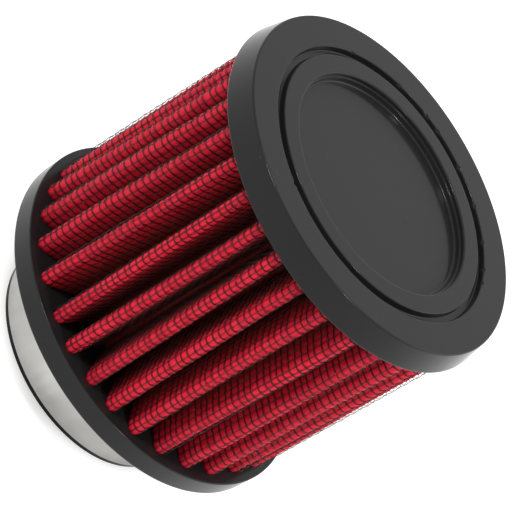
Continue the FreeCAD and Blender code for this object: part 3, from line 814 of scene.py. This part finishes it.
def make_top_cap(material):
    """The closed cap: a ring groove and a stepped round recess in its face."""
    low, face = top_low.z, top_high.z
    groove_floor = face - GROOVE_DEPTH
    step = face - STEP_DEPTH
    floor = face - RECESS_DEPTH
    step_radius = RECESS_RADIUS - STEP_WIDTH
    corners = (
        (0, low, 0),
        (top_high.x, low, 0.3 * MM),
        (FACE_RADIUS, face, 0.35 * MM),
        (GROOVE_OUTER_RADIUS + NICK_REACH, face, 0),
        (GROOVE_OUTER_RADIUS, face, GROOVE_ROUNDING),
        (GROOVE_OUTER_RADIUS - GROOVE_DRAFT, groove_floor, 0.3 * MM),
        (GROOVE_INNER_RADIUS + GROOVE_DRAFT, groove_floor, 0.3 * MM),
        (GROOVE_INNER_RADIUS, face, GROOVE_ROUNDING),
        (RECESS_RADIUS, face, 0.35 * MM),
        (RECESS_RADIUS, step, 0.1 * MM),
        (step_radius, step, 0.12 * MM),
        (step_radius - RECESS_DRAFT, floor, 0.4 * MM),
        (0, floor, 0),
    )
    piece = lathe("top_cap_rubber", rounded(corners), material)
    nick_groove_edge(piece.data, face)
    return piece


def nick_groove_edge(mesh, face):
    """Small nicks that moulding flash left along the outer edge of the groove."""
    for vertex in mesh.vertices:
        radius = vertex.co.xy.length
        if abs(radius - NICKED_EDGE_RADIUS) < GROOVE_ROUNDING and vertex.co.z > face - NICK_HEIGHT:
            step = round(math.atan2(vertex.co.y, vertex.co.x) / TURN * CAP_STEPS) % CAP_STEPS
            if step in NICK_STEPS:
                vertex.co.xy *= 1 + NICK_DEPTH / radius


def make_base_cap(material):
    """The open base: a flange under the pleats and the neck for the tube and the clamp."""
    top = base_high.z
    corners = (
        (BORE_RADIUS + BORE_CHAMFER, 0, 0.15 * MM),
        (LIP_RADIUS, 0, 0.15 * MM),
        (LIP_RADIUS, LIP_HEIGHT, 0.1 * MM),
        (NECK_SEAT_RADIUS, LIP_HEIGHT, 0),
        (NECK_SEAT_RADIUS, FLANGE_UNDERSIDE, 0.9 * MM),
        (FLANGE_BOTTOM_RADIUS, FLANGE_UNDERSIDE, 0.55 * MM),
        (base_high.x, top, 0.22 * MM),
        (BORE_RADIUS, top, 0.2 * MM),
        (BORE_RADIUS, BORE_CHAMFER, 0.2 * MM),
    )
    return lathe("base_cap_rubber", rounded(corners), material)


def dressed_copy(node, name, edge, material):
    """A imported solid's shape with its flat faces merged and its edges broken."""
    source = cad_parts[node]
    mesh = bmesh.new()
    mesh.from_mesh(source.data)
    bmesh.ops.remove_doubles(mesh, verts=mesh.verts, dist=MERGE_DISTANCE)
    bmesh.ops.dissolve_limit(mesh, angle_limit=FLAT_ANGLE, verts=mesh.verts, edges=mesh.edges)
    for face in mesh.faces:
        face.smooth = True
    piece = mesh_object(name, [])
    mesh.to_mesh(piece.data)
    mesh.free()
    piece.data.materials.append(material)
    bevel = piece.modifiers.new("edge_break", "BEVEL")
    bevel.width = edge
    bevel.segments = 2
    bevel.limit_method = "ANGLE"
    bevel.angle_limit = EDGE_ANGLE
    bevel.harden_normals = True
    return apply_modifiers(piece)


def make_worm_thread(material):
    """The worm thread on the clamp screw."""
    piece = mesh_object("clamp_screw_thread", [])
    start = SCREW_CENTRE - Vector((THREAD_LENGTH / 2, 0, 0))
    return run_tree(piece, thread_tree(), {
        "Turns": THREAD_LENGTH / THREAD_PITCH, "Length": THREAD_LENGTH, "Path radius": THREAD_PATH_RADIUS,
        "Section radius": THREAD_SECTION_RADIUS, "Centre": tuple(start), "Material": material})


def make_camera():
    data = bpy.data.cameras.new("photo_camera")
    camera = bpy.data.objects.new("photo_camera", data)
    bpy.context.scene.collection.objects.link(camera)
    to_camera = Matrix.Rotation(CAMERA_ROLL, 3, "Z") @ Matrix.Rotation(CAMERA_TILT, 3, "X")
    axes = to_camera.transposed()
    camera.matrix_world = Matrix.Translation(CAMERA_AIM + axes @ CAMERA_OFFSET) @ axes.to_4x4()
    data.sensor_width = SENSOR_WIDTH
    data.lens = CAMERA_LENS
    data.clip_start = 0.01
    bpy.context.scene.camera = camera


def add_softbox(name, place, size, power):
    """A square lamp that faces the middle of the filter."""
    data = bpy.data.lights.new(name, "AREA")
    data.shape = "SQUARE"
    data.size = size
    data.energy = power
    lamp = bpy.data.objects.new(name, data)
    bpy.context.scene.collection.objects.link(lamp)
    lamp.location = place
    lamp.rotation_euler = (CAMERA_AIM - lamp.location).to_track_quat("-Z", "Y").to_euler()


def make_studio():
    """A pale floor, a white surround and soft lamps."""
    half = FLOOR_SIZE / 2
    floor = mesh_object("studio_floor", [(-half, -half, 0), (half, -half, 0), (half, half, 0), (-half, half, 0)],
                        faces=[(0, 1, 2, 3)])
    floor.data.materials.append(make_floor_material())

    world = bpy.data.worlds.new("white_surround")
    world.use_nodes = True
    bpy.context.scene.world = world
    nodes = Nodes(world.node_tree)
    strength = WORLD_LEVEL + (1 - WORLD_LEVEL) * seen_directly(nodes)
    surround = nodes.add("ShaderNodeBackground", None, {"Color": (1, 1, 1, 1), "Strength": strength})
    nodes.add("ShaderNodeOutputWorld", None, {"Surface": surround})

    add_softbox("left_softbox", Vector((-0.432, -0.432, 0.75)), 0.15, 4.5)
    add_softbox("right_softbox", Vector((0.52, -0.36, 0.76)), 0.12, 4)
    add_softbox("back_softbox", Vector((0.65, 0.6, 0.7)), 0.6, 2.2)


rubber = make_rubber()
gauze = make_gauze()
coating = make_wire_coating()
band_steel = make_steel("band_steel", (0.5, 0.49, 0.47), 0.24, (1, 1, 0.06))
screw_steel = make_steel("screw_steel", (0.66, 0.65, 0.62), 0.22, (0.06, 1, 1))
wire_path = wire_tree()

pieces = [
    (make_top_cap(rubber), "filter", "cap_rubber", ["top_cap"]),
    (make_base_cap(rubber), "filter", "cap_rubber", ["base_cap"]),
    (make_gauze_cloth(gauze), "filter", "oiled_gauze", ["gauze_media"]),
    (make_wires_around("outer_wires_around", OUTER_CLOTH_DEPTH, 3, 2, wire_path, coating),
     "filter", "coated_wire", ["outer_screen"]),
    (make_wires_along("outer_wires_along", OUTER_CLOTH_DEPTH, 4, wire_path, coating),
     "filter", "coated_wire", ["outer_screen"]),
    (make_wires_around("inner_wires_around", INNER_CLOTH_DEPTH, 3, 1, wire_path, coating),
     "filter", "coated_wire", ["inner_screen"]),
    (make_wires_along("inner_wires_along", INNER_CLOTH_DEPTH, 3, wire_path, coating),
     "filter", "coated_wire", ["inner_screen"]),
    (dressed_copy("clamp_band", "clamp_band_steel", 0.08 * MM, band_steel), "filter", "band_steel", ["clamp_band"]),
    (dressed_copy("clamp_housing", "clamp_housing_steel", 0.18 * MM, band_steel),
     "filter", "band_steel", ["clamp_housing"]),
    (dressed_copy("clamp_screw", "clamp_screw_steel", 0.12 * MM, screw_steel), "screw", "screw_steel", ["clamp_screw"]),
    (make_worm_thread(screw_steel), "screw", "screw_steel", []),
]
for piece, body, finish, stands_for in pieces:
    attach(piece, body)
    if stands_for:
        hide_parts(*stands_for)

make_camera()
make_studio()
bpy.context.scene.view_settings.view_transform = "Standard"
